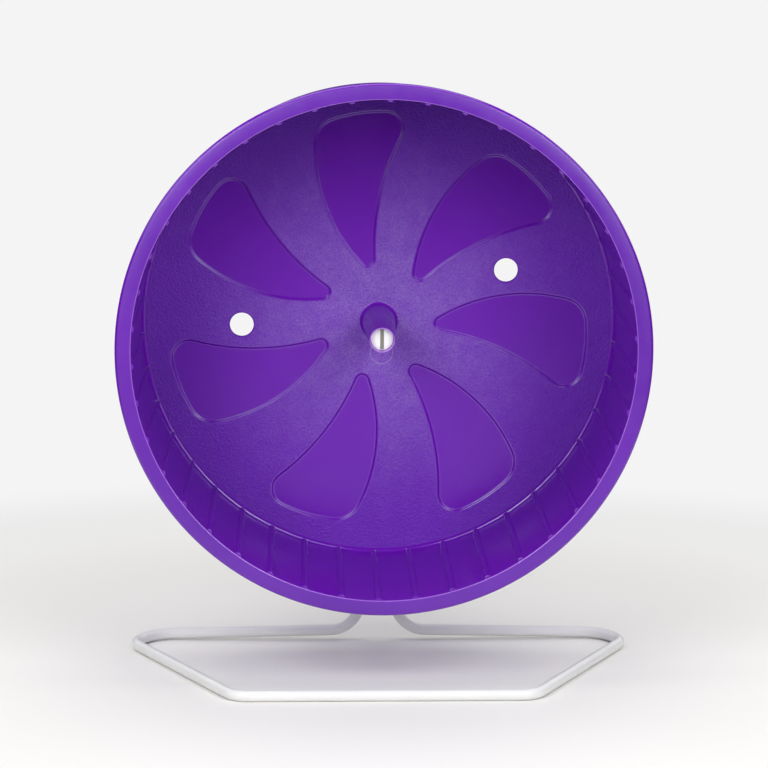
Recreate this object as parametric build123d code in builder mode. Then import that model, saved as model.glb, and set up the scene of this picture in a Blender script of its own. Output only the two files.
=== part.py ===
from build123d import *
import math
import os

# Rodent exercise wheel: a moulded drum that turns on a horizontal axle, on a stand of bent rod.
# +X is to the right and -Y towards the viewer who looks into the open drum, with +Z up.
# The origin is on the floor, at the middle of the bounding box.

# Drum, in mm
lip_diameter = 280.0
lip_width = 8.4
lip_thickness = 2.3
lip_rake = 1.0
lip_edge_flat = 0.3
lip_inner_chamfer = 0.5
drum_depth = 109.5
track_draft = 1.5
track_wall = 1.5
disc_thickness = 2.4
front_corner_chamfer = 1.3
back_corner_chamfer = 3.0

# Ribs across the track
rib_count = 42
rib_width = 3.5
rib_height = 1.35
rib_first_angle = 3.1
rib_lip_gap = 1.4

# Swirl petals, each bounded by three arcs whose centres stand at a distance and an angle from the axle
petal_count = 7
petal_recess = 0.9
petal_back_radius = 91.7
petal_back_offset = 110.7
petal_back_angle = -43.9
petal_belly_radius = 132.2
petal_belly_offset = 135.6
petal_belly_angle = -85.6
petal_edge_radius = 85.4
petal_reach = 114.6
petal_edge_angle = -16.3
petal_tip_fillet = 3.7
petal_heel_fillet = 9.5
petal_shoulder_fillet = 14.0

# Two through holes in the disc
hole_diameter = 13.0
hole_circle_radius = 74.6
hole_angles = (21.9, 181.4)

# Hub tube
hub_length = 67.5
hub_root_diameter = 18.4
hub_mouth_diameter = 13.4
hub_root_fillet = 2.0
hub_mouth_bore = 12.2
hub_relief_gap = 0.9

# Axle screw, sleeve, washers and nut
screw_diameter = 6.0
screw_length = 90.0
screw_end_chamfer = 0.8
head_diameter = 11.4
head_height = 3.3
head_edge_chamfer = 0.6
head_recess = 3.5
slot_width = 1.9
slot_depth = 1.7
thread_gap = 0.05
sleeve_diameter = 8.0
sleeve_bore_gap = 0.1
washer_thickness = 1.6
washer_bore_gap = 0.2
front_washer_diameter = 11.0
rear_washer_diameter = 12.0
lock_washer_diameter = 11.8
lock_washer_thickness = 1.6
lock_washer_split = 1.2
nut_across_flats = 10.0
nut_height = 5.2
nut_corner_slope = 30.0

# Bushes pressed into the hub tube
bush_diameter = 10.4
bush_length = 7.0
bush_flange_diameter = 11.8
bush_flange_thickness = 1.0
running_gap = 0.05
end_float = 0.3

# Stand
rod_diameter = 6.0
axle_height = 180.3
boss_diameter = 13.0
boss_length = 14.0
boss_chamfer = 0.6
upright_above_axle = 10.0
upright_end_chamfer = 0.8
upright_bend_radius = 17.0
back_rail_rise = 2.3
back_corner_half_width = 144.3
back_corner_radius = 21.0
front_corner_half_width = 78.6
front_corner_radius = 12.0
front_rail_lead = 20.4
weld_radius = 2.2
weld_length = 5.0
weld_bite = 0.5

# Radii that follow from the sizes above
lip_radius = lip_diameter / 2
mouth_radius = lip_radius - lip_width
draft_slope = math.tan(math.radians(track_draft))
disc_radius = mouth_radius - drum_depth * draft_slope
screw_radius = screw_diameter / 2
thread_radius = screw_radius + thread_gap
sleeve_radius = sleeve_diameter / 2
washer_bore_radius = screw_radius + washer_bore_gap
bush_radius = bush_diameter / 2
hub_relief_radius = sleeve_radius + hub_relief_gap
rod_radius = rod_diameter / 2
boss_radius = boss_diameter / 2
upright_x = boss_radius + rod_radius

# Stations along the axle, measured back from the lip's front edge
disc_face = drum_depth
disc_back = disc_face + disc_thickness
hub_mouth = disc_face - hub_length
head_face = hub_mouth + head_recess
head_seat = head_face + head_height
sleeve_front = head_seat + washer_thickness
front_flange_face = sleeve_front + end_float
pocket_floor = front_flange_face + bush_flange_thickness
rear_flange_back = disc_back + bush_flange_thickness
sleeve_back = rear_flange_back + end_float
boss_front = sleeve_back + washer_thickness
upright_station = boss_front + boss_length / 2
boss_back = boss_front + boss_length
nut_front = boss_back + lock_washer_thickness
nut_back = nut_front + nut_height
screw_end = head_seat + screw_length

# The middle of the bounding box lies half way from the front rail to the end of the screw
front_rail_station = -front_rail_lead
lip_y = -(front_rail_station - rod_radius + screw_end) / 2
front_rail_y = lip_y + front_rail_station
upright_y = lip_y + upright_station

axle = Axis((0, 0, axle_height), (0, 1, 0))
# Half section through the axle: first coordinate the radius, second the station behind the lip
half_section = Plane(origin=(0, lip_y, axle_height), x_dir=(1, 0, 0), z_dir=(0, 0, 1))


def front_plane(station):
    """Plane square to the axle at a station, as the viewer sees it: X to the right, Z up."""
    return Plane(origin=(0, lip_y + station, axle_height), x_dir=(1, 0, 0), z_dir=(0, -1, 0))


def ring_profile(outer_radius, bore_radius, front, back):
    """Rectangle in the half section that turns into a plain ring between two stations."""
    middle = ((outer_radius + bore_radius) / 2, (front + back) / 2)
    with Locations(middle):
        Rectangle(outer_radius - bore_radius, back - front)


def circles_of_radius(part, radius):
    """Circular edges of a part that have a given radius."""
    return part.edges().filter_by(GeomType.CIRCLE).filter_by(lambda e: abs(e.radius - radius) < 0.001)


# Outline of one petal
with BuildSketch() as petal:
    with PolarLocations(petal_back_offset, 1, petal_back_angle):
        Circle(petal_back_radius)
    with PolarLocations(petal_reach - petal_edge_radius, 1, petal_edge_angle):
        Circle(petal_edge_radius, mode=Mode.INTERSECT)
    with PolarLocations(petal_belly_offset, 1, petal_belly_angle):
        Circle(petal_belly_radius, mode=Mode.SUBTRACT)
    fillet(petal.vertices().sort_by(Axis.X)[0], petal_tip_fillet)
    fillet(petal.vertices().sort_by(Axis.Y)[0], petal_heel_fillet)
    fillet(petal.vertices().sort_by(Axis.Y)[-1], petal_shoulder_fillet)

# Drum: one moulding with lip, track wall, disc and hub tube
with BuildPart() as wheel_drum:
    wall_foot_radius = disc_radius + track_wall
    with BuildSketch(half_section) as drum_section:
        with BuildLine():
            Polyline(
                (disc_radius, disc_face),
                (mouth_radius, 0),
                (lip_radius, lip_rake),
                (lip_radius, lip_rake + lip_thickness),
                (mouth_radius + track_wall, lip_thickness),
                (wall_foot_radius, disc_back),
                (bush_radius, disc_back),
                (bush_radius, disc_back - bush_length),
                (hub_relief_radius, disc_back - bush_length),
                (hub_relief_radius, pocket_floor + bush_length),
                (bush_radius, pocket_floor + bush_length),
                (bush_radius, pocket_floor),
                (hub_mouth_bore / 2, pocket_floor),
                (hub_mouth_bore / 2, hub_mouth),
                (hub_mouth_diameter / 2, hub_mouth),
                (hub_root_diameter / 2, disc_face),
                close=True,
            )
        make_face()
        lip_front_corner = drum_section.vertices().group_by(Axis.X)[-1].sort_by(Axis.Y)[0]
        fillet(lip_front_corner, lip_thickness - lip_edge_flat)
    revolve(axis=axle)
    chamfer(circles_of_radius(wheel_drum, wall_foot_radius), back_corner_chamfer)
    chamfer(circles_of_radius(wheel_drum, disc_radius), front_corner_chamfer)
    chamfer(circles_of_radius(wheel_drum, mouth_radius), lip_inner_chamfer)
    fillet(circles_of_radius(wheel_drum, hub_root_diameter / 2), hub_root_fillet)

    # Ribs: round-topped bars rooted half way into the track wall, that follow its draft to the lip
    rib_station = disc_face + disc_thickness / 2
    rib_foot_radius = mouth_radius - rib_station * draft_slope
    for index in range(rib_count):
        rib_angle = math.radians(rib_first_angle + index * 360 / rib_count)
        outward = (math.cos(rib_angle), math.sin(rib_angle))
        rib_foot = Plane(
            origin=(
                rib_foot_radius * outward[0],
                lip_y + rib_station,
                axle_height + rib_foot_radius * outward[1],
            ),
            x_dir=(-outward[1], 0, outward[0]),
            z_dir=(draft_slope * outward[0], -1, draft_slope * outward[1]),
        )
        with BuildSketch(rib_foot):
            with BuildLine():
                ThreePointArc((-rib_width / 2, 0), (0, rib_height), (rib_width / 2, 0))
                Polyline(
                    (rib_width / 2, 0),
                    (rib_width / 2, -track_wall / 2),
                    (-rib_width / 2, -track_wall / 2),
                    (-rib_width / 2, 0),
                )
            make_face()
    extrude(amount=rib_station - rib_lip_gap)

    # Petals sunk in the disc's face
    with BuildSketch(front_plane(disc_face)):
        with PolarLocations(0, petal_count):
            add(petal.sketch)
    extrude(amount=-petal_recess, mode=Mode.SUBTRACT)

    # Through holes
    with BuildSketch(front_plane(disc_back)):
        for hole_angle in hole_angles:
            with PolarLocations(hole_circle_radius, 1, hole_angle):
                Circle(hole_diameter / 2)
    extrude(amount=disc_thickness, mode=Mode.SUBTRACT)

# Bushes: the front one has its flange on the floor of the mouth's pocket, the rear one on the disc's back
with BuildPart() as front_bush:
    with BuildSketch(half_section):
        ring_profile(bush_radius, sleeve_radius + running_gap, front_flange_face, pocket_floor + bush_length)
        ring_profile(
            bush_flange_diameter / 2, sleeve_radius + running_gap, front_flange_face, pocket_floor
        )
    revolve(axis=axle)

with BuildPart() as rear_bush:
    with BuildSketch(half_section):
        ring_profile(bush_radius, sleeve_radius + running_gap, disc_back - bush_length, rear_flange_back)
        ring_profile(bush_flange_diameter / 2, sleeve_radius + running_gap, disc_back, rear_flange_back)
    revolve(axis=axle)

# Screw with a slotted round head
with BuildPart() as axle_screw:
    with BuildSketch(half_section):
        with BuildLine():
            Polyline(
                (0, head_face),
                (head_diameter / 2, head_face),
                (head_diameter / 2, head_seat),
                (screw_radius, head_seat),
                (screw_radius, screw_end - screw_end_chamfer),
                (screw_radius - screw_end_chamfer, screw_end),
                (0, screw_end),
                close=True,
            )
        make_face()
    revolve(axis=axle)
    chamfer(circles_of_radius(axle_screw, head_diameter / 2).sort_by(Axis.Y)[0], head_edge_chamfer)
    with BuildSketch(front_plane(head_face)):
        Rectangle(slot_width, head_diameter)
    extrude(amount=-slot_depth, mode=Mode.SUBTRACT)

# Sleeve that the bushes run on, clamped between the two flat washers
with BuildPart() as axle_sleeve:
    with BuildSketch(half_section):
        ring_profile(sleeve_radius, screw_radius + sleeve_bore_gap, sleeve_front, sleeve_back)
    revolve(axis=axle)

with BuildPart() as front_washer:
    with BuildSketch(half_section):
        ring_profile(front_washer_diameter / 2, washer_bore_radius, head_seat, sleeve_front)
    revolve(axis=axle)

with BuildPart() as rear_washer:
    with BuildSketch(half_section):
        ring_profile(rear_washer_diameter / 2, washer_bore_radius, sleeve_back, boss_front)
    revolve(axis=axle)

# Threaded boss between the uprights
with BuildPart() as axle_boss:
    with BuildSketch(half_section):
        ring_profile(boss_radius, thread_radius, boss_front, boss_back)
    revolve(axis=axle)
    chamfer(circles_of_radius(axle_boss, boss_radius), boss_chamfer)

# Split spring washer
with BuildPart() as lock_washer:
    with BuildSketch(front_plane(nut_front)):
        Circle(lock_washer_diameter / 2)
        Circle(washer_bore_radius, mode=Mode.SUBTRACT)
        with Locations((0, lock_washer_diameter / 2)):
            Rectangle(lock_washer_split, lock_washer_diameter, mode=Mode.SUBTRACT)
    extrude(amount=lock_washer_thickness)

# Hexagon nut, its corners turned off at the back
with BuildPart() as lock_nut:
    with BuildSketch(front_plane(nut_back)):
        RegularPolygon(nut_across_flats / 2, 6, major_radius=False)
    extrude(amount=nut_height)
    with BuildSketch(half_section):
        with BuildLine():
            flat_radius = nut_across_flats / 2
            corner_radius = flat_radius / math.cos(math.radians(30))
            corner_drop = (corner_radius - flat_radius) * math.tan(math.radians(nut_corner_slope))
            Polyline(
                (thread_radius, nut_front),
                (corner_radius, nut_front),
                (corner_radius, nut_back - corner_drop),
                (flat_radius, nut_back),
                (thread_radius, nut_back),
                close=True,
            )
        make_face()
    revolve(axis=axle, mode=Mode.INTERSECT)

# Stand: one bent rod, from the top of one upright round the base to the top of the other
with BuildPart() as stand_frame:
    half_route = [
        (upright_x, upright_y, axle_height + upright_above_axle),
        (upright_x, upright_y, rod_radius + back_rail_rise),
        (back_corner_half_width, upright_y, rod_radius),
        (front_corner_half_width, front_rail_y, rod_radius),
    ]
    other_half = [(-x, y, z) for x, y, z in reversed(half_route)]
    half_bends = [upright_bend_radius, back_corner_radius, front_corner_radius]
    with BuildLine() as route:
        FilletPolyline(*half_route, *other_half, radius=half_bends + half_bends[::-1])
    with BuildSketch(Plane(origin=route.line @ 0, z_dir=route.line % 0)):
        Circle(rod_radius)
    sweep(path=route.line)
    rod_ends = stand_frame.faces().filter_by(GeomType.PLANE).sort_by(Axis.Z)[-2:]
    chamfer(rod_ends.edges(), upright_end_chamfer)

# Weld fillets in the four corners between the boss and the uprights
with BuildPart() as weld_beads:
    bead_reach = boss_radius + weld_radius - weld_bite
    bead_rise = math.sqrt(bead_reach**2 - boss_radius**2)
    with BuildSketch(front_plane(upright_station + weld_length / 2)):
        with GridLocations(2 * boss_radius, 2 * bead_rise, 2, 2):
            Circle(weld_radius)
    extrude(amount=weld_length)
    add(stand_frame.part, mode=Mode.SUBTRACT)
    add(axle_boss.part, mode=Mode.SUBTRACT)

pieces = {
    "wheel_drum": wheel_drum,
    "front_bush": front_bush,
    "rear_bush": rear_bush,
    "axle_screw": axle_screw,
    "axle_sleeve": axle_sleeve,
    "front_washer": front_washer,
    "rear_washer": rear_washer,
    "axle_boss": axle_boss,
    "lock_washer": lock_washer,
    "lock_nut": lock_nut,
    "stand_frame": stand_frame,
    "weld_beads": weld_beads,
}
os.makedirs("parts", exist_ok=True)
for name, piece in pieces.items():
    piece.part.label = name
    export_step(piece.part, f"parts/{name}.step")
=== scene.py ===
import math

import bmesh
import bpy
import numpy as np
from mathutils import Matrix, Vector
from mathutils.geometry import delaunay_2d_cdt


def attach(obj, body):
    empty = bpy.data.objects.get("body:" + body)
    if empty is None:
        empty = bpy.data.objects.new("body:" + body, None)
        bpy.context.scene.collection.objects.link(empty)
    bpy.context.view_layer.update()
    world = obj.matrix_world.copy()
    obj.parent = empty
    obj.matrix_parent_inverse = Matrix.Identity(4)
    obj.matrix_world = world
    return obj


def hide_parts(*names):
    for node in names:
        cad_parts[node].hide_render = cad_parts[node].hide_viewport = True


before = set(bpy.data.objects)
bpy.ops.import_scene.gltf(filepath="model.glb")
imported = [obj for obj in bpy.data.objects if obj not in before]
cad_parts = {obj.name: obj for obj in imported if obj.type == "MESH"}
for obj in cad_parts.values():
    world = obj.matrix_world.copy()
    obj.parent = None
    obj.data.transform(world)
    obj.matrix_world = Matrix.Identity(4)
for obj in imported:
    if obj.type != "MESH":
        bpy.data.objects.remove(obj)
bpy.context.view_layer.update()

# Shapes are worked out in millimetres in the frame of the part, and written to the meshes in metres.
MM = 0.001
LIP_Y = -57.7
AXLE_Z = 180.3
# Corners sharper than this, in degrees, are shaded as edges, and points closer than this, in mm, are one
CREASE, SAME_POINT = 38, 0.002


# Camera

def photo_camera(place, yaw, pitch, roll, lens):
    """Camera at a place in mm, turned right by yaw, down by pitch and clockwise by roll, in degrees."""
    yaw, pitch, roll = np.radians([yaw, pitch, roll])
    forward = np.array([np.sin(yaw) * np.cos(pitch), np.cos(yaw) * np.cos(pitch), -np.sin(pitch)])
    level_right = np.array([np.cos(yaw), -np.sin(yaw), 0.0])
    level_down = np.cross(forward, level_right)
    right = np.cos(roll) * level_right + np.sin(roll) * level_down
    down = np.cos(roll) * level_down - np.sin(roll) * level_right
    camera = bpy.data.objects.new("photo_camera", bpy.data.cameras.new("photo_camera"))
    bpy.context.scene.collection.objects.link(camera)
    turn = Matrix(np.stack([right, -down, -forward], axis=1).tolist()).to_4x4()
    camera.matrix_world = Matrix.Translation(Vector(place) * MM) @ turn
    camera.data.sensor_width = 36
    camera.data.lens = lens
    camera.data.clip_start = 0.01
    camera.data.clip_end = 100
    return camera


bpy.context.scene.camera = photo_camera((-61.6, -2137.6, 517.5), 1.689, 9.641, -0.144, 190.6)
bpy.context.scene.view_settings.view_transform = "Standard"


# Mesh making

def around_axle(radius, station, angle):
    """Points in mm from a radius about the axle, a station behind the lip and an angle from +X to +Z."""
    radius, station, angle = np.broadcast_arrays(radius, station, angle)
    return np.stack(
        [radius * np.cos(angle), LIP_Y + station, AXLE_Z + radius * np.sin(angle)], axis=-1
    )


def on_disc(plan, station):
    """Points in mm from a plan point, a complex number seen from the front, and a station."""
    plan, station = np.broadcast_arrays(plan, station)
    return np.stack([plan.real, LIP_Y + station, AXLE_Z + plan.imag], axis=-1)


def grid_block(points, material=0, closed=True):
    """Block of quads on a grid of points: each row joins the next, and the last column the first if closed.

    The material is one index, or one index for each gap between two rows.
    """
    rows, columns = points.shape[:2]
    column = np.arange(columns if closed else columns - 1)
    row = np.arange(rows - 1)[:, None] * columns
    beside = (column + 1) % columns
    quads = np.stack(
        [row + column, row + beside, row + columns + beside, row + columns + column], axis=-1
    )
    slots = np.broadcast_to(np.reshape(material, (-1, 1)), quads.shape[:2])
    return points.reshape(-1, 3), quads.reshape(-1, 4), slots.ravel()


def panel_block(loops, station, material=0):
    """Flat block square to the axle that fills the plan between closed loops, inner loops left open.

    A triangle belongs to it if a line from its middle towards +X crosses the loops an odd number of times.
    """
    starts = np.concatenate(loops)
    ends = np.concatenate([np.roll(loop, -1) for loop in loops])
    sizes = np.array([len(loop) for loop in loops])
    first = np.repeat(np.cumsum(sizes) - sizes, sizes)
    index = np.arange(len(starts))
    following = first + (index - first + 1) % np.repeat(sizes, sizes)
    flat = [Vector(pair) for pair in np.stack([starts.real, starts.imag], axis=-1).tolist()]
    edges = np.stack([index, following], axis=-1).tolist()
    corners, _, triangles, *_ = delaunay_2d_cdt(flat, edges, [], 0, 1e-5)
    corners = np.array([complex(*corner) for corner in corners])
    triangles = np.array(triangles)
    middle = corners[triangles].mean(axis=1)[:, None]
    spans = (starts.imag > middle.imag) != (ends.imag > middle.imag)
    rise = np.where(starts.imag == ends.imag, 1, ends.imag - starts.imag)
    cut = starts.real + (middle.imag - starts.imag) * (ends.real - starts.real) / rise
    kept = triangles[(spans & (cut > middle.real)).sum(axis=1) % 2 == 1]
    return on_disc(corners, station), kept, np.full(len(kept), material)


def make_piece(name, blocks, materials, body, replaces):
    """Joins blocks into one closed mesh whose faces point outwards, and puts it on its body."""
    points = np.concatenate([block[0] for block in blocks]) * MM
    starts = np.cumsum([0] + [len(block[0]) for block in blocks[:-1]])
    faces = [face for start, block in zip(starts, blocks) for face in (block[1] + start).tolist()]
    mesh = bpy.data.meshes.new(name)
    mesh.from_pydata(points.tolist(), [], faces)
    mesh.polygons.foreach_set("material_index", np.concatenate([block[2] for block in blocks]))
    for material in materials:
        mesh.materials.append(material)
    shape = bmesh.new()
    shape.from_mesh(mesh)
    bmesh.ops.remove_doubles(shape, verts=shape.verts, dist=SAME_POINT * MM)
    bmesh.ops.recalc_face_normals(shape, faces=shape.faces)
    shape.to_mesh(mesh)
    shape.free()
    mesh.polygons.foreach_set("use_smooth", np.ones(len(mesh.polygons), bool))
    mesh.set_sharp_from_angle(angle=math.radians(CREASE))
    piece = bpy.data.objects.new(name, mesh)
    bpy.context.scene.collection.objects.link(piece)
    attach(piece, body)
    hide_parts(*replaces)


def rounded_line(corners, radii, steps):
    """Polyline through corners, each turned into an arc of its radius that touches the lines beside it.

    The arc's centre stands on the bisector of the corner, and a radius of 0 keeps the corner.
    """
    corners = np.asarray(corners, float)
    line = [corners[:1]]
    for before, corner, after, radius, count in zip(corners, corners[1:], corners[2:], radii, steps):
        arriving = (corner - before) / np.linalg.norm(corner - before)
        leaving = (after - corner) / np.linalg.norm(after - corner)
        turn = math.acos(np.clip(arriving @ leaving, -1, 1))
        if radius == 0:
            line.append(corner[None])
            continue
        start = corner - arriving * radius * math.tan(turn / 2)
        aside = leaving - arriving * (arriving @ leaving)
        aside /= np.linalg.norm(aside)
        part = np.linspace(0, turn, count + 1)[:, None]
        line.append(start + radius * (np.sin(part) * arriving + (1 - np.cos(part)) * aside))
    line.append(corners[-1:])
    return np.concatenate(line)


# Materials

def new_material(name):
    """Empty node material with a Principled shader; returns material, node tree and shader."""
    material = bpy.data.materials.new(name)
    material.use_nodes = True
    tree = material.node_tree
    return material, tree, tree.nodes["Principled BSDF"]


def add_node(tree, kind, settings=(), **inputs):
    """New node: settings are its own properties, inputs its sockets, each a value or a socket to link.

    An input called n and a number is the socket of that number.
    """
    node = tree.nodes.new(kind)
    for key, value in dict(settings).items():
        setattr(node, key, value)
    for key, value in inputs.items():
        numbered = key[0] == "n" and key[1:].isdigit()
        socket = node.inputs[int(key[1:]) if numbered else key.replace("_", " ")]
        if isinstance(value, bpy.types.NodeSocket):
            tree.links.new(value, socket)
        else:
            socket.default_value = value
    return node


def noise(tree, place, scale, detail=2.0, roughness=0.5):
    """Noise over the object's own coordinates, scale in cells per metre."""
    return add_node(
        tree, "ShaderNodeTexNoise", Vector=place, Scale=scale, Detail=detail, Roughness=roughness
    ).outputs["Fac"]


def spread(tree, value, low, high):
    """Maps a noise of about 0.3 to 0.7 on to a range."""
    return add_node(
        tree, "ShaderNodeMapRange", Value=value, From_Min=0.3, From_Max=0.7, To_Min=low, To_Max=high
    ).outputs["Result"]


def mixed_colour(tree, share, first, second):
    """Colour between two others, each a value or a socket."""
    mix = add_node(tree, "ShaderNodeMix", {"data_type": "RGBA"})
    tree.links.new(share, mix.inputs[0])
    for socket, colour in ((mix.inputs[6], first), (mix.inputs[7], second)):
        if isinstance(colour, bpy.types.NodeSocket):
            tree.links.new(colour, socket)
        else:
            socket.default_value = colour
    return mix.outputs[2]


def arithmetic(tree, operation, first, second):
    """Result of one operation on two numbers."""
    return add_node(tree, "ShaderNodeMath", {"operation": operation}, n0=first, n1=second).outputs[0]


def distance_across(tree, place, x, z):
    """Distance of a point from a line along the axle's way, through x and z in mm."""
    aside = add_node(
        tree, "ShaderNodeVectorMath", {"operation": "SUBTRACT"}, n0=place, n1=(x * MM, 0, z * MM)
    ).outputs[0]
    flat = add_node(
        tree, "ShaderNodeVectorMath", {"operation": "MULTIPLY"}, n0=aside, n1=(1, 0, 1)
    ).outputs[0]
    return add_node(tree, "ShaderNodeVectorMath", {"operation": "LENGTH"}, n0=flat).outputs["Value"]


def moulded_violet(name, tones, roughness, grain_height, grain_size, gloss):
    """Violet plastic: two close tones in soft clouds, and a moulded grain of a height and size in mm."""
    material, tree, shader = new_material(name)
    place = add_node(tree, "ShaderNodeTexCoord").outputs["Object"]
    clouds = spread(tree, noise(tree, place, 14, 3), 0, 1)
    tree.links.new(mixed_colour(tree, clouds, *tones), shader.inputs["Base Color"])
    tree.links.new(
        spread(tree, noise(tree, place, 90, 4), *roughness), shader.inputs["Roughness"]
    )
    grain = noise(tree, place, 1 / (grain_size * MM), 3, 0.6)
    bump = add_node(tree, "ShaderNodeBump", Height=grain, Distance=grain_height * MM, Strength=1.0)
    tree.links.new(bump.outputs["Normal"], shader.inputs["Normal"])
    shader.inputs["Specular IOR Level"].default_value = gloss
    return material


def add_painted_sheen(material):
    """Adds painted sheen to the disc's grained face: a pale tint mixed into the colour in place of the lamps'
    sheen.

    The painted sheen is strongest round the hub and fades outwards, and it is paler on the grain's peaks in
    soft patches. The witness mark is a shallow ring pressed into the grain, and it takes a share of the same
    pale tint.
    """
    tree = material.node_tree
    shader = tree.nodes["Principled BSDF"]
    bump = next(node for node in tree.nodes if node.type == "BUMP")
    place = next(node for node in tree.nodes if node.type == "TEX_COORD").outputs["Object"]
    from_axle = distance_across(tree, place, 0, AXLE_Z)
    sheen_fade = add_node(
        tree, "ShaderNodeMapRange", {"interpolation_type": "SMOOTHSTEP"}, Value=from_axle,
        From_Min=SHEEN_INNER * MM, From_Max=SHEEN_OUTER * MM, To_Min=SHEEN_SHARE, To_Max=SHEEN_OUTSIDE,
    ).outputs["Result"]
    peaks = spread(tree, noise(tree, place, 1 / (PEAK_SIZE * MM), 2, 0.7), 0.3, 1.7)
    patches = spread(tree, noise(tree, place, 1 / (PATCH_SIZE * MM), 3, 0.6), 0.75, 1.25)
    share = arithmetic(tree, "MULTIPLY", arithmetic(tree, "MULTIPLY", peaks, patches), sheen_fade)
    tone = shader.inputs["Base Color"].links[0].from_socket
    from_mark = distance_across(tree, place, WITNESS_X, AXLE_Z + WITNESS_Z)
    ring = add_node(
        tree, "ShaderNodeMath", {"operation": "COMPARE"}, n0=from_mark,
        n1=WITNESS_RADIUS * MM, n2=WITNESS_HALF_WIDTH * MM,
    ).outputs[0]
    share = arithmetic(tree, "ADD", share, arithmetic(tree, "MULTIPLY", ring, WITNESS_SHARE))
    sheened = mixed_colour(tree, share, tone, SHEEN_TINT)
    tree.links.new(sheened, shader.inputs["Base Color"])
    grain = bump.inputs["Height"].links[0].from_socket
    pressed = arithmetic(tree, "SUBTRACT", grain, arithmetic(tree, "MULTIPLY", ring, WITNESS_DEPTH))
    tree.links.new(pressed, bump.inputs["Height"])


def plain_finish(name, tones, roughness, metallic, grain_height, grain_size):
    """Coated, plated or turned surface: close tones, a roughness range and a fine grain in mm."""
    material, tree, shader = new_material(name)
    place = add_node(tree, "ShaderNodeTexCoord").outputs["Object"]
    clouds = spread(tree, noise(tree, place, 40, 3), 0, 1)
    tree.links.new(mixed_colour(tree, clouds, *tones), shader.inputs["Base Color"])
    tree.links.new(
        spread(tree, noise(tree, place, 300, 3), *roughness), shader.inputs["Roughness"]
    )
    grain = noise(tree, place, 1 / (grain_size * MM), 2, 0.5)
    bump = add_node(tree, "ShaderNodeBump", Height=grain, Distance=grain_height * MM, Strength=1.0)
    tree.links.new(bump.outputs["Normal"], shader.inputs["Normal"])
    shader.inputs["Metallic"].default_value = metallic
    return material


# Round witness mark that the mould left under the hub tube: its place from the axle and its size in mm, how
# # much of the painted sheen's pale tint it takes, and how deep it is beside the grain's height
WITNESS_X, WITNESS_Z, WITNESS_RADIUS, WITNESS_HALF_WIDTH = 1.5, -17.5, 6.1, 0.22
WITNESS_SHARE, WITNESS_DEPTH = 0.15, 1.2
# Painted sheen round the hub: a pale tint that fades between two radii in mm, from one share to another
SHEEN_INNER, SHEEN_OUTER = 15.0, 118.0
SHEEN_SHARE, SHEEN_OUTSIDE = 0.078, 0.012
# Painted sheen on the grained face: its pale tint, and the size of its paler peaks and soft patches in mm
SHEEN_TINT = (0.95, 0.93, 1.0, 1)
PEAK_SIZE, PATCH_SIZE = 0.8, 9

# Each finish has two tones, a range of roughness, and its grain's height and size in mm
polished_violet = moulded_violet(
    "polished_violet", ((0.130, 0.004, 0.38, 1), (0.140, 0.005, 0.40, 1)), (0.16, 0.22), 0.01, 2.2, 0.35
)
burnished_violet = moulded_violet(
    "burnished_violet", ((0.125, 0.006, 0.37, 1), (0.135, 0.007, 0.39, 1)), (0.10, 0.16), 0.01, 1.6, 0.7
)
# Paler violet for the mouths' inner edges: a painted highlight along these edges
edge_highlight_violet = moulded_violet(
    "edge_highlight_violet", ((0.30, 0.11, 0.58, 1), (0.36, 0.15, 0.64, 1)), (0.14, 0.22), 0.01, 1.6, 0.7
)
grained_violet = moulded_violet(
    "grained_violet", ((0.124, 0.005, 0.39, 1), (0.136, 0.006, 0.42, 1)), (0.46, 0.54), 0.8, 1.2, 0.28
)
# The disc's grained face gets a painted sheen, strongest round the hub
add_painted_sheen(grained_violet)
satin_violet = moulded_violet(
    "satin_violet", ((0.092, 0.007, 0.31, 1), (0.122, 0.013, 0.37, 1)), (0.28, 0.40), 0.015, 3.0, 0.5
)
white_powder_coat = plain_finish(
    "white_powder_coat", ((0.72, 0.72, 0.725, 1), (0.75, 0.75, 0.755, 1)), (0.30, 0.40), 0.0, 0.02, 0.7
)
bright_zinc = plain_finish(
    "bright_zinc", ((0.92, 0.92, 0.90, 1), (0.95, 0.95, 0.93, 1)), (0.30, 0.38), 0.3, 0.006, 0.8
)
plated_steel = plain_finish(
    "plated_steel", ((0.80, 0.80, 0.77, 1), (0.87, 0.87, 0.84, 1)), (0.24, 0.36), 0.8, 0.006, 0.8
)
# Darker zinc for the slot's faces: painted shade inside the slot
slot_shade_zinc = plain_finish(
    "slot_shade_zinc", ((0.34, 0.33, 0.28, 1), (0.42, 0.41, 0.34, 1)), (0.40, 0.50), 0.5, 0.02, 0.4
)
natural_acetal = plain_finish(
    "natural_acetal", ((0.80, 0.79, 0.74, 1), (0.84, 0.83, 0.79, 1)), (0.35, 0.45), 0.0, 0.01, 0.4
)


# Drum

DISC_FACE, DISC_BACK = 109.5, 111.9
MOUTH_RADIUS, TRACK_DRAFT, TRACK_WALL = 131.6, 1.5, 1.5
DISC_RADIUS = MOUTH_RADIUS - DISC_FACE * math.tan(math.radians(TRACK_DRAFT))
LIP_RADIUS, LIP_RAKE, LIP_THICKNESS = 139.96, 1.0, 2.3
RIB_COUNT, RIB_FIRST, RIB_WIDTH, RIB_HEIGHT, RIB_START = 42, 3.1, 3.5, 1.35, 1.4
RIB_END_ROUND, RIB_FOOT_ROUND = 0.6, 0.3
PANEL_RADIUS, BACK_PANEL_RADIUS, HUB_PANEL_RADIUS, HUB_BACK_RADIUS = 126.4, 125.0, 12.4, 8.0
PETAL_RECESS, PETAL_EDGE_SLOPE, PETAL_SUPPORT = 0.9, 60.0, 0.35
HOLE_RADIUS, HOLE_CIRCLE, HOLE_ANGLES = 6.5, 74.6, (21.9, 181.4)
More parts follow.
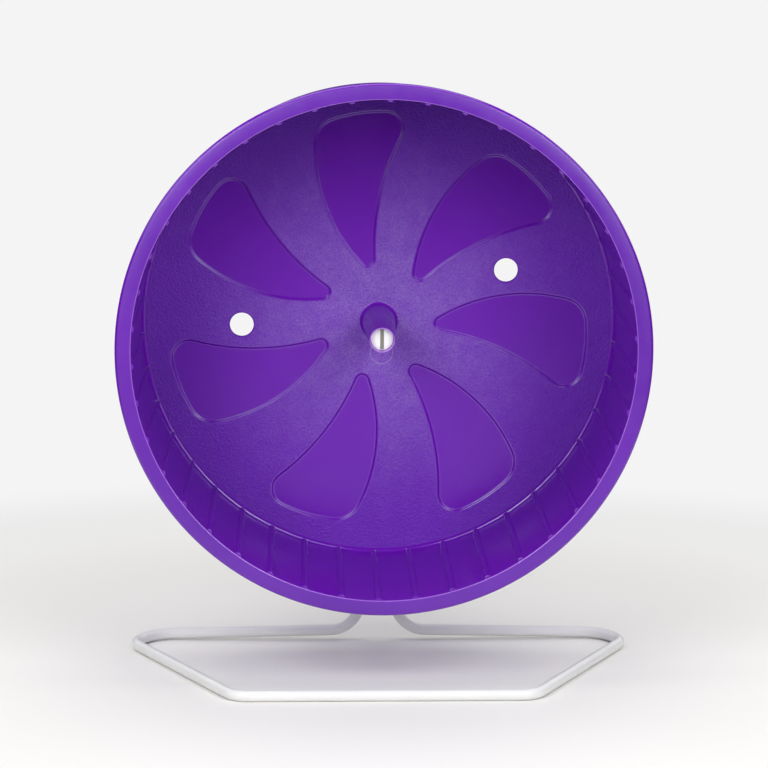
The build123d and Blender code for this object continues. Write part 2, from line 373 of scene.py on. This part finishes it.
# Rounding of the turned wall: where disc and track meet, at the mouth, at the rim's front and back, where the
# lip meets the wall, and where the wall meets the disc's back
CORNER_ROUND, MOUTH_ROUND, RIM_ROUND, RIM_BACK_ROUND, WALL_ROUND, BACK_ROUND = 1.6, 0.5, 2.0, 0.25, 0.8, 4.5
HOLE_FRONT_ROUND, HOLE_BACK_ROUND, HOLE_MARGIN = 0.25, 0.2, 0.6

# Petal in plan: the angle in degrees of each arc's centre about the axle, the centre's distance from the axle
# (for the outer edge, how far its arc reaches), and the arc's radius
PETAL_COUNT = 7
PETAL_BACK_ANGLE, PETAL_BACK_CENTRE, PETAL_BACK_RADIUS = -43.9, 110.7, 91.7
PETAL_EDGE_ANGLE, PETAL_EDGE_REACH, PETAL_EDGE_RADIUS = -16.3, 114.6, 85.4
PETAL_BELLY_ANGLE, PETAL_BELLY_CENTRE, PETAL_BELLY_RADIUS = -85.6, 135.6, 132.2
PETAL_TIP_ROUND, PETAL_HEEL_ROUND, PETAL_SHOULDER_ROUND = 3.7, 9.5, 14.0

# Hub tube: stations behind the lip, and radii of its outside and its bores
HUB_MOUTH, HUB_SHOULDER, HUB_STEP, HUB_FRONT_SEAT, HUB_BACK_SEAT = 42.0, 51.7, 77.0, 58.7, 104.9
HUB_ROOT_RADIUS, HUB_STEP_RADIUS, HUB_MOUTH_RADIUS = 9.2, 8.0, 6.7
HEAD_BORE, BUSH_BORE, SLEEVE_BORE = 6.1, 5.2, 4.9
HUB_ROOT_ROUND, HUB_MOUTH_ROUND, HUB_MOUTH_BREAK = 2.0, 0.3, 0.15

# Stations behind the ribs' front ends at which the track wall has a row of points, close where the ends round
wall_rows = np.array([-0.01, 0.01, 0.06, 0.16, 0.3, 0.45, 0.6, 1.2, 4, 10, 20, 32, 44, 56, 68, 80, 92])
# Distances along the track from the middle of a rib at which the wall has a column of points
rib_half = np.array([0.4, 0.8, 1.15, 1.42, 1.62, 1.75, 1.88, 2.1, 2.5, 4.2, 7.0])
rib_across = np.concatenate([-rib_half[::-1], [0], rib_half, [math.pi * DISC_RADIUS / RIB_COUNT]])
rib_angles = np.radians(RIB_FIRST + np.arange(RIB_COUNT) * 360 / RIB_COUNT)
track_angles = (rib_angles[:, None] + rib_across / DISC_RADIUS).ravel()
track_across = np.tile(rib_across, RIB_COUNT)


def track_radius(station):
    """Radius of the drafted track wall: a straight line from the disc's corner to the mouth."""
    return MOUTH_RADIUS + (DISC_RADIUS - MOUTH_RADIUS) * station / DISC_FACE


def rib_rise(station, across):
    """Height of a rib over the track: an arc across, cut by a rounded front end, with an eased foot."""
    arc_radius = (RIB_WIDTH**2 / 4 + RIB_HEIGHT**2) / (2 * RIB_HEIGHT)
    inside = np.sqrt(np.maximum(arc_radius**2 - across**2, 0)) - (arc_radius - RIB_HEIGHT)
    outside = (RIB_WIDTH / 2 - np.abs(across)) * 2
    section = np.where(np.abs(across) < RIB_WIDTH / 2, inside, outside)
    short = np.clip(RIB_END_ROUND - (station - RIB_START), 0, RIB_END_ROUND)
    end = RIB_HEIGHT - RIB_END_ROUND + np.sqrt(RIB_END_ROUND**2 - short**2)
    height = np.minimum(section, end)
    eased = 0.5 * (height + np.sqrt(height**2 + RIB_FOOT_ROUND**2))
    return np.where(station > RIB_START, eased, 0)


def petal_outline():
    """Plan points and outward directions round the first petal, three arcs joined by three fillet arcs.

    A fillet's centre is where two circles meet, each set in or out from its arc by the fillet's radius.
    The arcs run between the points where fillets touch them.
    """
    back = PETAL_BACK_CENTRE * np.exp(1j * np.radians(PETAL_BACK_ANGLE))
    edge = (PETAL_EDGE_REACH - PETAL_EDGE_RADIUS) * np.exp(1j * np.radians(PETAL_EDGE_ANGLE))
    belly = PETAL_BELLY_CENTRE * np.exp(1j * np.radians(PETAL_BELLY_ANGLE))
    back_radius, edge_radius, belly_radius = PETAL_BACK_RADIUS, PETAL_EDGE_RADIUS, PETAL_BELLY_RADIUS
    tip_round, heel_round, shoulder_round = PETAL_TIP_ROUND, PETAL_HEEL_ROUND, PETAL_SHOULDER_ROUND

    def meeting(first, first_radius, second, second_radius, side):
        """Point where two circles meet, on the left (1) or right (-1) of the line from first to second."""
        gap = abs(second - first)
        along = (gap**2 + first_radius**2 - second_radius**2) / (2 * gap)
        aside = np.sqrt(first_radius**2 - along**2)
        return first + (second - first) / gap * (along + 1j * side * aside)

    tip = meeting(back, back_radius - tip_round, belly, belly_radius + tip_round, -1)
    heel = meeting(edge, edge_radius - heel_round, belly, belly_radius + heel_round, 1)
    shoulder = meeting(back, back_radius - shoulder_round, edge, edge_radius - shoulder_round, -1)
    touch = {
        "tip_back": (tip - back) / abs(tip - back),
        "tip_belly": (tip - belly) / abs(tip - belly),
        "heel_belly": (heel - belly) / abs(heel - belly),
        "heel_edge": (heel - edge) / abs(heel - edge),
        "shoulder_edge": (shoulder - edge) / abs(shoulder - edge),
        "shoulder_back": (shoulder - back) / abs(shoulder - back),
    }
    arcs = (
        (tip, tip_round, touch["tip_back"], -touch["tip_belly"], 1, 12),
        (belly, belly_radius, touch["tip_belly"], touch["heel_belly"], -1, 30),
        (heel, heel_round, -touch["heel_belly"], touch["heel_edge"], 1, 14),
        (edge, edge_radius, touch["heel_edge"], touch["shoulder_edge"], 1, 14),
        (shoulder, shoulder_round, touch["shoulder_edge"], touch["shoulder_back"], 1, 16),
        (back, back_radius, touch["shoulder_back"], touch["tip_back"], 1, 34),
    )
    plans, outs = [], []
    for centre, radius, start, stop, sense, count in arcs:
        swing = sense * (np.angle(stop / start) * sense % (2 * np.pi))
        ray = start * np.exp(1j * swing * np.arange(count) / count)
        plans.append(centre + radius * ray)
        outs.append(sense * ray)
    return np.concatenate(plans), np.concatenate(outs)


def petal_wall():
    """Offsets from the outline and depths across a petal's wall: an outward arc, then an inward one."""
    slope = math.radians(PETAL_EDGE_SLOPE)
    radius = PETAL_RECESS / 2 / (1 - math.cos(slope))
    half_width = radius * math.sin(slope)
    part = np.linspace(0, slope, 6)
    upper = np.stack([half_width - radius * np.sin(part), radius * (1 - np.cos(part))], axis=-1)
    lower = np.stack([-upper[:, 0], PETAL_RECESS - upper[:, 1]], axis=-1)[::-1]
    brim = [[half_width + PETAL_SUPPORT, 0]]
    floor = [[-half_width - PETAL_SUPPORT, PETAL_RECESS]]
    return np.concatenate([brim, upper, lower[1:], floor])


drum_finishes = (polished_violet, grained_violet, satin_violet, burnished_violet, edge_highlight_violet)
polished, grained, satin, burnished, edge_highlight = range(len(drum_finishes))


def wall_finish(radius, station):
    """Finish of each band of the turned wall, from the radius and station at its middle.

    The lip's face and the outside of the wall are satin, the corner at the disc and the turn at the mouth are
    burnished, the mouth's inner edge takes the paler violet of a painted highlight, and the rest is polished.
    """
    lip_face = (station < LIP_RAKE) & (radius > MOUTH_RADIUS + 0.4) & (radius < LIP_RADIUS - 1.2)
    corner = (np.abs(radius - DISC_RADIUS) < 1.7) & (station > DISC_FACE - 1.7) & (station < DISC_FACE)
    turn = (station < RIB_START + RIB_END_ROUND) & ~lip_face
    mouth_edge = (station < 0.5) & (radius < MOUTH_RADIUS + 0.4)
    outside = (radius > track_radius(station) + TRACK_WALL / 2) & (station > LIP_THICKNESS + 0.5)
    return np.select([mouth_edge, outside | lip_face, corner | turn], [edge_highlight, satin, burnished], polished)


def wall_block():
    """Track wall and lip, turned from the disc's front over the lip to the disc's back, with its ribs.

    The section goes round the axle, and a rib takes its height off the radius of the wall's inside.
    """
    wall_stations = RIB_START + wall_rows[::-1]
    corners = [(PANEL_RADIUS, DISC_FACE), (DISC_RADIUS, DISC_FACE)]
    corners += [(track_radius(station), station) for station in wall_stations]
    corners += [
        (MOUTH_RADIUS, 0),
        (LIP_RADIUS, LIP_RAKE),
        (LIP_RADIUS, LIP_RAKE + LIP_THICKNESS),
        (MOUTH_RADIUS + TRACK_WALL, LIP_THICKNESS),
        (DISC_RADIUS + TRACK_WALL, DISC_BACK),
        (BACK_PANEL_RADIUS, DISC_BACK),
    ]
    straight = [0] * len(wall_stations)
    radii = [CORNER_ROUND, *straight, MOUTH_ROUND, RIM_ROUND, RIM_BACK_ROUND, WALL_ROUND, BACK_ROUND]
    corner_steps = 8
    steps = [corner_steps, *straight, 4, 8, 3, 4, 6]
    section = rounded_line(corners, radii, steps)
    radius, station = section[:, :1], section[:, 1:]
    # The section's first point, the corner's arc and the wall's rows are the inside
    inside = np.arange(len(section))[:, None] < 1 + corner_steps + 1 + len(wall_stations)
    ribbed = np.minimum(radius, track_radius(station) - rib_rise(station, track_across))
    ribbed = np.where(inside & (station < DISC_FACE), ribbed, radius)
    middle = (section[1:] + section[:-1]) / 2
    return grid_block(around_axle(ribbed, station, track_angles), wall_finish(middle[:, 0], middle[:, 1]))


def hub_block(angles):
    """Hub tube, turned from the disc's front over the mouth and through the bore to the disc's back.

    The foot of the tube keeps the disc's grain and its painted sheen, and the mouth's edge takes the paler
    violet of a painted highlight.
    """
    corners = [
        (HUB_PANEL_RADIUS, DISC_FACE),
        (HUB_ROOT_RADIUS, DISC_FACE),
        (HUB_STEP_RADIUS, HUB_STEP),
        (HUB_MOUTH_RADIUS, HUB_MOUTH),
        (HEAD_BORE, HUB_MOUTH),
        (HEAD_BORE, HUB_SHOULDER),
        (BUSH_BORE, HUB_SHOULDER),
        (BUSH_BORE, HUB_FRONT_SEAT),
        (SLEEVE_BORE, HUB_FRONT_SEAT),
        (SLEEVE_BORE, HUB_BACK_SEAT),
        (BUSH_BORE, HUB_BACK_SEAT),
        (BUSH_BORE, DISC_BACK),
        (HUB_BACK_RADIUS, DISC_BACK),
    ]
    radii = [HUB_ROOT_ROUND, 0, HUB_MOUTH_ROUND, HUB_MOUTH_BREAK, 0, 0, 0, 0, 0, 0, 0]
    section = rounded_line(corners, radii, [8, 0, 5, 3, 0, 0, 0, 0, 0, 0, 0])
    radius, station = section[:, :1], section[:, 1:]
    root = (radius[:-1, 0] > HUB_ROOT_RADIUS + 1.5) & (station[:-1, 0] > DISC_FACE - 1)
    mouth = station[:-1, 0] < HUB_MOUTH + 1
    finish = np.select([root, mouth], [grained, edge_highlight], polished)
    return grid_block(around_axle(radius, station, angles), finish)


def drum_blocks():
    """Blocks of the drum: the turned wall with its ribs and lip, hub tube, petals, holes and flat panels."""
    hub_angles = np.linspace(0, 2 * np.pi, 96, endpoint=False)
    blocks = [wall_block(), hub_block(hub_angles)]
    # Petals
    outline, outward = petal_outline()
    wall = petal_wall()
    brims = []
    for turn in np.exp(2j * np.pi * np.arange(PETAL_COUNT) / PETAL_COUNT):
        plan = (outline + wall[:, :1] * outward) * turn
        blocks.append(grid_block(on_disc(plan, DISC_FACE + wall[:, 1:]), burnished))
        blocks.append(panel_block([plan[-1]], DISC_FACE + PETAL_RECESS, polished))
        brims.append(plan[0])
    # Holes
    rim_radius = HOLE_RADIUS + HOLE_MARGIN
    corners = [
        (rim_radius, DISC_FACE),
        (HOLE_RADIUS, DISC_FACE),
        (HOLE_RADIUS, DISC_BACK),
        (rim_radius, DISC_BACK),
    ]
    hole = rounded_line(corners, [HOLE_FRONT_ROUND, HOLE_BACK_ROUND], [4, 3])
    circle = np.exp(1j * np.linspace(0, 2 * np.pi, 48, endpoint=False))
    rims = []
    for angle in np.radians(HOLE_ANGLES):
        plan = HOLE_CIRCLE * np.exp(1j * angle) + hole[:, :1] * circle
        blocks.append(grid_block(on_disc(plan, hole[:, 1:]), polished))
        rims.append(plan[0])
    # Flat panels of the disc, front and back
    track_circle, hub_circle = np.exp(1j * track_angles), np.exp(1j * hub_angles)
    front = [PANEL_RADIUS * track_circle, HUB_PANEL_RADIUS * hub_circle, *brims, *rims]
    blocks.append(panel_block(front, DISC_FACE, grained))
    back = [BACK_PANEL_RADIUS * track_circle, HUB_BACK_RADIUS * hub_circle, *rims]
    blocks.append(panel_block(back, DISC_BACK, polished))
    return blocks


make_piece(
    "drum_moulding", drum_blocks(), drum_finishes, "wheel", replaces=("wheel_drum",),
)


# Stand

def bent_route(corners, radii):
    """Points and section directions along a rod bent at corners: straight runs, and arcs that touch them.

    The two section directions are square to the rod, and each bend turns them about its own axis.
    """
    corners = np.asarray(corners, float)
    runs = np.diff(corners, axis=0)
    runs /= np.linalg.norm(runs, axis=1)[:, None]
    side = np.cross(runs[0], (0.0, 1.0, 0.0))
    side /= np.linalg.norm(side)
    points, sides, tangents = [corners[0]], [side], [runs[0]]
    for corner, arriving, leaving, radius in zip(corners[1:-1], runs[:-1], runs[1:], radii):
        turn = math.acos(arriving @ leaving)
        hinge = np.cross(arriving, leaving)
        hinge /= np.linalg.norm(hinge)
        centre_way = np.cross(hinge, arriving)
        start = corner - arriving * radius * math.tan(turn / 2)
        part = np.linspace(0, turn, 25)[:, None]
        points.extend(start + radius * (np.sin(part) * arriving + (1 - np.cos(part)) * centre_way))
        tangents.extend(np.cos(part) * arriving + np.sin(part) * centre_way)
        upright = np.dot(side, hinge) * hinge
        flat, quarter = side - upright, np.cross(hinge, side)
        turned = upright + np.cos(part) * flat + np.sin(part) * quarter
        sides.extend(turned)
        side = turned[-1]
    points.append(corners[-1])
    sides.append(side)
    tangents.append(runs[-1])
    return np.array(points), np.array(sides), np.array(tangents)


def rod_block(points, sides, tangents, radius, end_round):
    """Round section carried along a route, its two ends eased by a quarter round and closed to a point."""
    others = np.cross(tangents, sides)
    reach = np.linspace(0, np.pi / 2, 6)
    inset = end_round * (1 - np.sin(reach))
    width = radius - end_round + end_round * np.cos(reach)
    inset, width = np.append(inset, 0), np.append(width, 0)
    head = points[0] + inset[::-1, None] * tangents[0]
    tail = points[-1] - inset[:, None] * tangents[-1]
    centres = np.concatenate([head, points[1:-1], tail])
    widths = np.concatenate([width[::-1], np.full(len(points) - 2, radius), width])
    repeats = np.ones(len(points), int)
    repeats[0], repeats[-1] = len(head), len(tail)
    first, second = np.repeat(sides, repeats, 0), np.repeat(others, repeats, 0)
    angle = np.linspace(0, 2 * np.pi, 40, endpoint=False)[:, None]
    ring = np.cos(angle) * first[:, None] + np.sin(angle) * second[:, None]
    return grid_block(centres[:, None] + widths[:, None, None] * ring)


ROD_RADIUS, ROD_END_ROUND = 2.997, 0.8
# Half the route: distances of the upright and the base's corners from the middle, stations behind the lip,
# heights of the rod's middle over the axle or the floor, and radii of the bends
UPRIGHT_X, BACK_CORNER_X, FRONT_CORNER_X = 9.5, 144.3, 78.6
UPRIGHT_STATION, FRONT_STATION = 121.8, -20.4
UPRIGHT_OVER_AXLE, BACK_RAIL_Z, BASE_Z = 10.0, 5.3, 3.0
FOOT_BEND, BACK_BEND, FRONT_BEND = 17.0, 21.0, 12.0

upright_y = LIP_Y + UPRIGHT_STATION
half_route = [
    (UPRIGHT_X, upright_y, AXLE_Z + UPRIGHT_OVER_AXLE),
    (UPRIGHT_X, upright_y, BACK_RAIL_Z),
    (BACK_CORNER_X, upright_y, BASE_Z),
    (FRONT_CORNER_X, LIP_Y + FRONT_STATION, BASE_Z),
]
other_half = [(-x, y, z) for x, y, z in reversed(half_route)]
half_bends = [FOOT_BEND, BACK_BEND, FRONT_BEND]
route = bent_route(half_route + other_half, half_bends + half_bends[::-1])
make_piece(
    "bent_rod", [rod_block(*route, ROD_RADIUS, ROD_END_ROUND)], (white_powder_coat,), "stand",
    replaces=("stand_frame",),
)


# Screw

HEAD_FACE, HEAD_SEAT, SCREW_END = 45.5, 48.8, 138.8
HEAD_RADIUS, HEAD_ROUND, HEAD_DOME = 5.9, 0.4, 0.25
SLOT_HALF_WIDTH, SLOT_DEPTH, SLOT_EDGE = 0.95, 1.7, 0.12
SHANK_RADIUS, THREAD_PITCH, THREAD_DEPTH, THREAD_LENGTH = 3.0, 1.0, 0.5, 9.0
TIP_RADIUS, TIP_LENGTH = 2.3, 0.8


def screw_blocks():
    """Blocks of the slotted screw: head with its slot, shank with a thread at the end, and flat tip.

    The top of the head is a grid of columns across the slot. Each column runs from one side of the rim to the
    other, on a shallow dome that drops to the slot's floor between the slot's walls. From the rim the points
    go on round the edge and down the shank, where the thread is a cosine wave of the station less the turned
    share of a pitch.
    """
    flat_radius = HEAD_RADIUS - HEAD_ROUND
    swing = np.linspace(0, np.pi / 2, 14)
    bevel_end = SLOT_HALF_WIDTH + SLOT_EDGE
    outer = bevel_end + (flat_radius - bevel_end) * np.sin(swing)
    right = np.concatenate([[0, SLOT_HALF_WIDTH / 2, SLOT_HALF_WIDTH, SLOT_HALF_WIDTH], outer])
    sunk = np.concatenate([[SLOT_DEPTH, SLOT_DEPTH, SLOT_DEPTH, SLOT_EDGE], np.zeros(len(outer))])
    across = np.concatenate([-right[:0:-1], right])
    depth = np.concatenate([sunk[:0:-1], sunk])
    half = np.sqrt(np.maximum(flat_radius**2 - across**2, 0))
    share = np.sin(np.linspace(-np.pi / 2, np.pi / 2, 15))[:, None]
    height = half * share
    bulge = HEAD_DOME * (1 - (across**2 + height**2) / flat_radius**2)
    level = HEAD_DOME - bulge
    station = HEAD_FACE + np.where(depth == SLOT_DEPTH, SLOT_DEPTH, level + depth)
    top = grid_block(on_disc(across + 1j * height, station), closed=False)
    # Columns inside the slot take the second finish, a darker zinc as painted shade
    slot_columns = (depth[1:] + depth[:-1]) / 2 > SLOT_EDGE
    slots = np.broadcast_to(np.where(slot_columns, 1, 0), (len(share) - 1, len(across) - 1))
    top = (top[0], top[1], slots.ravel())
    # Down the outside from the rim
    rim_across = np.concatenate([across, across[::-1]])
    rim_height = np.concatenate([half, -half[::-1]])
    rim_depth = np.concatenate([depth, depth[::-1]])
    angle = np.arctan2(rim_height, rim_across)
    part = np.linspace(0, np.pi / 2, 6)
    edge_radius = flat_radius + HEAD_ROUND * np.sin(part)
    edge_station = HEAD_FACE + HEAD_DOME + (HEAD_ROUND - HEAD_DOME) * (1 - np.cos(part))
    thread_start = SCREW_END - THREAD_LENGTH
    thread = np.arange(thread_start, SCREW_END - TIP_LENGTH, THREAD_PITCH / 8)
    shank = np.full(len(thread), SHANK_RADIUS)
    radii = np.concatenate(
        [edge_radius, [HEAD_RADIUS, HEAD_RADIUS, SHANK_RADIUS], shank, [TIP_RADIUS, 0]]
    )
    stations = np.concatenate(
        [edge_station, [HEAD_FACE + SLOT_DEPTH, HEAD_SEAT, HEAD_SEAT], thread, [SCREW_END, SCREW_END]]
    )[:, None]
    wave = 0.5 - 0.5 * np.cos(2 * np.pi * ((stations - thread_start) / THREAD_PITCH - angle / (2 * np.pi)))
    growing = np.clip((stations - thread_start) / THREAD_PITCH, 0, 1)
    threaded = (stations > thread_start) & (stations < SCREW_END)
    radii = radii[:, None] - np.where(threaded, THREAD_DEPTH * wave * growing, 0)
    least = HEAD_FACE + np.where(rim_depth == SLOT_DEPTH, SLOT_DEPTH, HEAD_DOME + rim_depth)
    stations = np.maximum(stations, least)
    return [top, grid_block(around_axle(radii, stations, angle))]


make_piece(
    "slotted_screw", screw_blocks(), (bright_zinc, slot_shade_zinc), "stand",
    replaces=("axle_screw",),
)


# Finishes of the pieces that keep their own solids

for name, finish in {
    "front_bush": natural_acetal,
    "rear_bush": natural_acetal,
    "axle_sleeve": plated_steel,
    "front_washer": plated_steel,
    "rear_washer": plated_steel,
    "lock_washer": plated_steel,
    "lock_nut": plated_steel,
    "axle_boss": white_powder_coat,
    "weld_beads": white_powder_coat,
}.items():
    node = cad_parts[name]
    node.data.materials.clear()
    node.data.materials.append(finish)


# Floor, background and light

BACKGROUND, FILL = 0.905, 0.06
# Beyond the pale sheet the floor is dark: painted shade of the floor away from the lamps, which glossy parts
# reflect
FLOOR_SHADE, SHEET = (0.15, 0.15, 0.15, 1), (0.87, 0.86, 0.835, 1)
FLOOR_RADIUS = 30
# Borders of the pale sheet in metres, each soft from its first number to its second: the disc round the part,
# the strip towards the viewer, and where the background takes over
SHEET_BORDER, GLOW_BORDER = (0.35, 0.60), (0.18, 0.55)
STRIP_X, STRIP_SIDE, STRIP_FRONT, STRIP_BACK = 0.035, (0.10, 0.15), (-1.9, -1.5), (0.0, 0.3)


def ramp(tree, value, start, stop, low, high):
    """Smooth change from one number to another while a value goes from start to stop."""
    return add_node(
        tree, "ShaderNodeMapRange", {"interpolation_type": "SMOOTHSTEP"}, Value=value, From_Min=start,
        From_Max=stop, To_Min=low, To_Max=high,
    ).outputs["Result"]


def studio_floor():
    """Pale sheet under and in front of the part, and painted shade beyond it, which the camera sees as the
    background.

    The sheet is a disc round the part and a strip towards the viewer; lengths are in metres.
    """
    material, tree, shader = new_material("studio_floor")
    shader.inputs["Roughness"].default_value = 0.5
    shader.inputs["Specular IOR Level"].default_value = 0.2
    place = add_node(tree, "ShaderNodeTexCoord").outputs["Object"]
    away = add_node(tree, "ShaderNodeVectorMath", {"operation": "LENGTH"}, n0=place).outputs["Value"]
    across = add_node(tree, "ShaderNodeSeparateXYZ", n0=place)
    aside = arithmetic(tree, "ABSOLUTE", arithmetic(tree, "SUBTRACT", across.outputs["X"], STRIP_X), 0.0)
    from_front = ramp(tree, across.outputs["Y"], *STRIP_FRONT, 0, 1)
    to_back = ramp(tree, across.outputs["Y"], *STRIP_BACK, 1, 0)
    strip = arithmetic(tree, "MULTIPLY", ramp(tree, aside, *STRIP_SIDE, 1, 0), from_front)
    strip = arithmetic(tree, "MULTIPLY", strip, to_back)
    sheet = arithmetic(tree, "MAXIMUM", ramp(tree, away, *SHEET_BORDER, 1, 0), strip)
    tree.links.new(mixed_colour(tree, sheet, FLOOR_SHADE, SHEET), shader.inputs["Base Color"])
    seen = add_node(tree, "ShaderNodeLightPath").outputs["Is Camera Ray"]
    share = arithmetic(tree, "MULTIPLY", ramp(tree, away, *GLOW_BORDER, 0, 1), seen)
    glow = add_node(tree, "ShaderNodeEmission", Color=(BACKGROUND,) * 3 + (1,), Strength=1.0)
    mix = add_node(tree, "ShaderNodeMixShader", n0=share, n1=shader.outputs[0], n2=glow.outputs[0])
    tree.links.new(mix.outputs[0], tree.nodes["Material Output"].inputs["Surface"])
    angle = np.linspace(0, 2 * np.pi, 64, endpoint=False)
    rim = FLOOR_RADIUS * np.stack([np.cos(angle), np.sin(angle), 0 * angle], axis=-1)
    mesh = bpy.data.meshes.new("studio_floor")
    mesh.from_pydata(rim.tolist(), [], [list(range(len(rim)))])
    mesh.materials.append(material)
    floor = bpy.data.objects.new("studio_floor", mesh)
    bpy.context.scene.collection.objects.link(floor)


def studio_world():
    """Near white background for the camera and clear things, and a dimmer fill for the rest."""
    world = bpy.data.worlds.new("studio")
    world.use_nodes = True
    bpy.context.scene.world = world
    tree = world.node_tree
    rays = add_node(tree, "ShaderNodeLightPath")
    seen = add_node(
        tree, "ShaderNodeMath", {"operation": "MAXIMUM"}, n0=rays.outputs["Is Camera Ray"],
        n1=rays.outputs["Is Transmission Ray"],
    ).outputs[0]
    share = add_node(
        tree, "ShaderNodeMapRange", Value=seen, To_Min=FILL, To_Max=BACKGROUND
    ).outputs["Result"]
    tree.nodes["Background"].inputs["Color"].default_value = (1, 1, 1, 1)
    tree.links.new(share, tree.nodes["Background"].inputs["Strength"])


def soft_light(name, place, aim, width, height, power):
    """Rectangular lamp at a place, turned to face a point, in metres and watts."""
    lamp = bpy.data.lights.new(name, "AREA")
    lamp.shape = "RECTANGLE"
    lamp.size, lamp.size_y, lamp.energy = width, height, power
    light = bpy.data.objects.new(name, lamp)
    bpy.context.scene.collection.objects.link(light)
    light.location = place
    light.rotation_mode = "QUATERNION"
    light.rotation_quaternion = (Vector(aim) - Vector(place)).to_track_quat("-Z", "Y")


studio_floor()
studio_world()
soft_light("left_light", (-0.62, -1.25, 0.85), (0, 0, 0.17), 0.8, 0.8, 9.1)
soft_light("right_light", (0.62, -1.25, 0.85), (0, 0, 0.17), 0.8, 0.8, 8.6)
soft_light("top_light", (0, 0.1, 1.4), (0, 0, 0.05), 1.2, 1.0, 8.2)
soft_light("low_left_light", (-0.75, -1.3, 0.40), (0, 0, 0.12), 0.4, 0.4, 2)
soft_light("low_right_light", (0.75, -1.3, 0.40), (0, 0, 0.12), 0.4, 0.4, 2.2)
soft_light("near_left_light", (-0.45, -0.60, 0.65), (0, 0.05, 0.15), 0.25, 0.25, 1.2)
soft_light("near_right_light", (0.45, -0.60, 0.65), (0, 0.05, 0.15), 0.25, 0.25, 1.1)
soft_light("far_left_light", (-1.1, -0.35, 0.9), (0, 0, 0.15), 0.6, 0.6, 1.6)
soft_light("far_right_light", (1.1, -0.35, 0.9), (0, 0, 0.15), 0.6, 0.6, 1.1)
soft_light("back_left_light", (-0.7, 0.9, 0.7), (-0.1, 0.1, 0), 1.1, 0.8, 3.6)
soft_light("back_right_light", (0.7, 0.9, 0.7), (0.1, 0.1, 0), 1.1, 0.8, 4.1)

bpy.context.view_layer.update()
